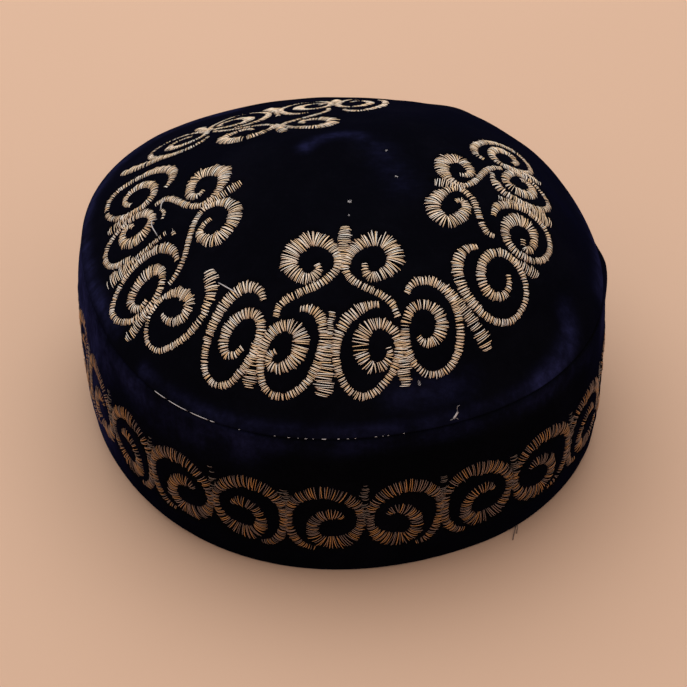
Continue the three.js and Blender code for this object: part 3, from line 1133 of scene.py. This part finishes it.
# Frayed ends at the rim, lying on the ground: east, north, height above the ground
RIM_FRAY = [
    [(61.2, -69.6, 1.2), (60.9, -71.6, 0.7), (60.2, -74.6, 0.3), (59.7, -77.2, 0.25)],
    [(61.5, -69.3, 1.0), (61.6, -71.4, 0.6), (61.2, -74.0, 0.25)],
]
# Specks of lint on the velvet: plan east, plan north, size
LINT = [
    (-2.5, -26.3, 0.8), (-2.7, -32.7, 0.4), (-2.7, -39.5, 0.5), (10.5, 0.5, 0.5), (13, -13, 0.5),
    (52, -60, 0.8), (25, -82, 0.6),
]
LINT_HAIRS = 5
LINT_POINTS = 4
LINT_LOW = 0.05
LINT_HIGH = 0.7


def stray_strokes():
    lines = [smooth_line(ways) for ways in STRAY_WORK.values()]
    return [crown_stroke(line[:, :2], line[:, 2]) for line in lines]


def lint_strands():
    """A few short hairs curled at random about each speck."""
    chance = np.random.default_rng(LINT_SEED)
    strands = []
    for east, north, size in LINT:
        for _ in range(LINT_HAIRS):
            ways = chance.uniform(-size, size, (LINT_POINTS, 2)) + (east, north)
            lifts = chance.uniform(LINT_LOW, LINT_HIGH * size, LINT_POINTS)
            strands.append(loose_strand(np.column_stack([ways, lifts])))
    return strands


# Camera, floor and light
CAMERA_AWAY = 1209.5
CAMERA_ELEVATION = 40.40
CAMERA_PIVOT = 35.0
CAMERA_AIM = (0.84, -4.2, 30.07)
CAMERA_ROLL = -0.757
CAMERA_LENS = 174.0
CAMERA_SENSOR = 36.0
FARTHEST_SEEN = 20000
FLOOR_REACH = 4000
ROOM_TINT = (1.0, 0.87, 0.79, 1)
ROOM_STRENGTH = 0.78


def camera():
    tilt = math.radians(CAMERA_ELEVATION)
    data = bpy.data.cameras.new("camera")
    data.lens = CAMERA_LENS
    data.sensor_width = CAMERA_SENSOR
    data.clip_end = FARTHEST_SEEN * MM
    eye = placed("camera", data)
    height = CAMERA_PIVOT + CAMERA_AWAY * math.sin(tilt)
    eye.location = Vector((0, -CAMERA_AWAY * math.cos(tilt), height)) * MM
    look = Vector(CAMERA_AIM) * MM - eye.location
    eye.rotation_mode = "QUATERNION"
    roll = Quaternion((0, 0, 1), math.radians(CAMERA_ROLL))
    eye.rotation_quaternion = look.to_track_quat("-Z", "Y") @ roll
    bpy.context.scene.camera = eye


def floor():
    mesh = bpy.data.meshes.new("floor")
    reach = FLOOR_REACH * MM
    corners = [(-reach, -reach, 0), (reach, -reach, 0), (reach, reach, 0), (-reach, reach, 0)]
    mesh.from_pydata(corners, [], [(0, 1, 2, 3)])
    mesh.materials.append(pale_floor())
    placed("floor", mesh)


def soft_light(name, place, aim, size, power, tint):
    data = bpy.data.lights.new(name, "AREA")
    data.shape = "DISK"
    data.size = size * MM
    data.energy = power
    data.color = tint
    lamp = placed(name, data)
    lamp.location = Vector(place) * MM
    lamp.rotation_mode = "QUATERNION"
    lamp.rotation_quaternion = (Vector(aim) - Vector(place)).to_track_quat("-Z", "Y")


def room_light():
    world = bpy.data.worlds.new("room")
    world.use_nodes = True
    sky = world.node_tree.nodes["Background"]
    sky.inputs["Color"].default_value = ROOM_TINT
    sky.inputs["Strength"].default_value = ROOM_STRENGTH
    bpy.context.scene.world = world
    bpy.context.scene.view_settings.view_transform = "Standard"
    soft_light(
        "overhead", place=(-160, 440, 1120), aim=(0, 0, 50), size=1500, power=9.8, tint=(0.9, 0.98, 1.0),
    )


# Satin stitch on the crown, and what differs elsewhere
CROWN_SATIN = {
    "Pitch": 0.54 * MM, "Thread": 0.29 * MM, "Flatness": 1.85, "Loft": 0.26 * MM, "Dip": 0.65 * MM,
    "Paired": 0.18, "Slant": 0.1, "Ragged": 0.17, "Missed": 0.06,
}
BACK_SATIN = CROWN_SATIN | {"Loft": 0.02 * MM, "Dip": 0.8 * MM, "Missed": 0.12}
BUD_SATIN = CROWN_SATIN | {"Pitch": 0.74 * MM, "Paired": 0.05, "Ragged": 0.2}
STRAY_SATIN = CROWN_SATIN | {"Ragged": 0.14}
BAND_SATIN = CROWN_SATIN | {
    "Pitch": 0.82 * MM, "Thread": 0.32 * MM, "Flatness": 1.6, "Paired": 0.12, "Slant": 0.08,
    "Ragged": 0.16, "Missed": 0.03,
}
SPINDLE_SATIN = BAND_SATIN | {"Ragged": 0.45, "Missed": 0.3}


def threads():
    """The thread for each slot."""
    return {
        "crown_thread": thread(
            "gold thread", pale=colour(255, 255, 250), deep=colour(250, 204, 150),
            honey=colour(244, 198, 120), soiled=colour(126, 68, 36), honeyed=0.5, gloss=1.0, roughness=0.27,
        ),
        # The band's thread is the gold thread painted darker, as painted shade for the band's side, and
        # more orange
        "band_thread": thread(
            "copper thread", pale=colour(146, 114, 98), deep=colour(62, 46, 43),
            honey=colour(188, 126, 54), soiled=colour(52, 33, 26), honeyed=0.85,
        ),
        "filler_thread": thread(
            "grey thread", pale=colour(118, 102, 92), deep=colour(78, 65, 60),
            honey=colour(110, 80, 60), soiled=colour(40, 32, 30),
        ),
        "seam_thread": thread(
            "white thread", pale=colour(214, 210, 212), deep=colour(184, 180, 184),
            honey=colour(196, 188, 184), soiled=colour(110, 106, 112),
        ),
    }


def embroider(motifs, buds, scrolls, spindles, reels):
    """The satin stitch: a piece for each motif of the crown, and for each half of the band's scrolls."""
    tree = satin_tree()
    half = BAND_SCROLLS // 2
    # Name, strokes, how they are stitched, seed, slot
    work = [
        ("front_motif", motifs["front"], CROWN_SATIN, 100, "crown_thread"),
        ("right_motif", motifs["right"], CROWN_SATIN, 120, "crown_thread"),
        ("back_motif", motifs["back"], BACK_SATIN, 140, "crown_thread"),
        ("left_motif", motifs["left"], CROWN_SATIN, 160, "crown_thread"),
        ("crown_buds", buds, BUD_SATIN, 300, "crown_thread"),
        ("stray_work", stray_strokes(), STRAY_SATIN, 180, "crown_thread"),
        ("band_scrolls_right", scrolls[:half], BAND_SATIN, 200, "band_thread"),
        ("band_scrolls_left", scrolls[half:], BAND_SATIN, 220, "band_thread"),
        ("band_spindles", spindles, SPINDLE_SATIN, 240, "filler_thread"),
    ]
    for name, strokes, satin, seed, slot in work:
        inputs = satin | {"Seed": seed, "Material": reels[slot]}
        worn(grown(name, stroke_mesh(name, strokes), tree, inputs))


def loose_threads(reels):
    """The seam's topstitch, the threads that lie loose, and the lint."""
    tree = strand_tree()
    # Name, lines, thickness, length of a step, slot
    work = [
        ("seam_stitches", seam_strands(SEAM_STITCHES), 0.24, 0.5, "seam_thread"),
        ("seam_glimpses", seam_strands(SEAM_GLIMPSES), 0.13, 0.5, "seam_thread"),
        ("jump_threads", [loose_strand(ways) for ways in JUMP_THREADS], 0.36, 0.5, "seam_thread"),
        ("seam_end", [loose_strand(SEAM_END)], 0.66, 0.2, "seam_thread"),
        ("seam_hairs", [loose_strand(ways) for ways in SEAM_HAIRS], 0.09, 0.2, "seam_thread"),
        ("rim_fray", [smooth_line(ways) for ways in RIM_FRAY], 0.3, 0.5, "filler_thread"),
        ("lint", lint_strands(), 0.1, 0.25, "seam_thread"),
    ]
    for name, lines, thickness, step, slot in work:
        inputs = {"Thread": thickness * MM, "Step": step * MM, "Material": reels[slot]}
        worn(grown(name, line_mesh(name, lines), tree, inputs))


def build():
    camera()
    floor()
    room_light()
    motifs = {motif: crown_strokes(motif, CROWN_MOTIF) for motif in MOTIFS}
    buds = [stroke for motif in MOTIFS for stroke in crown_strokes(motif, buds_of(motif))]
    scrolls, spindles = band_strokes()
    back = woven_back()
    crown_cloth = velvet("crown velvet", deep=colour(5, 5, 9), lit=colour(10, 10, 16))
    band_cloth = velvet("band velvet", deep=colour(4, 4, 5), lit=colour(8, 8, 12))
    velvet_crown(sum(motifs.values(), []) + buds, [crown_cloth, back])
    velvet_band(scrolls + spindles, [band_cloth, back])
    reels = threads()
    embroider(motifs, buds, scrolls, spindles, reels)
    loose_threads(reels)


build()
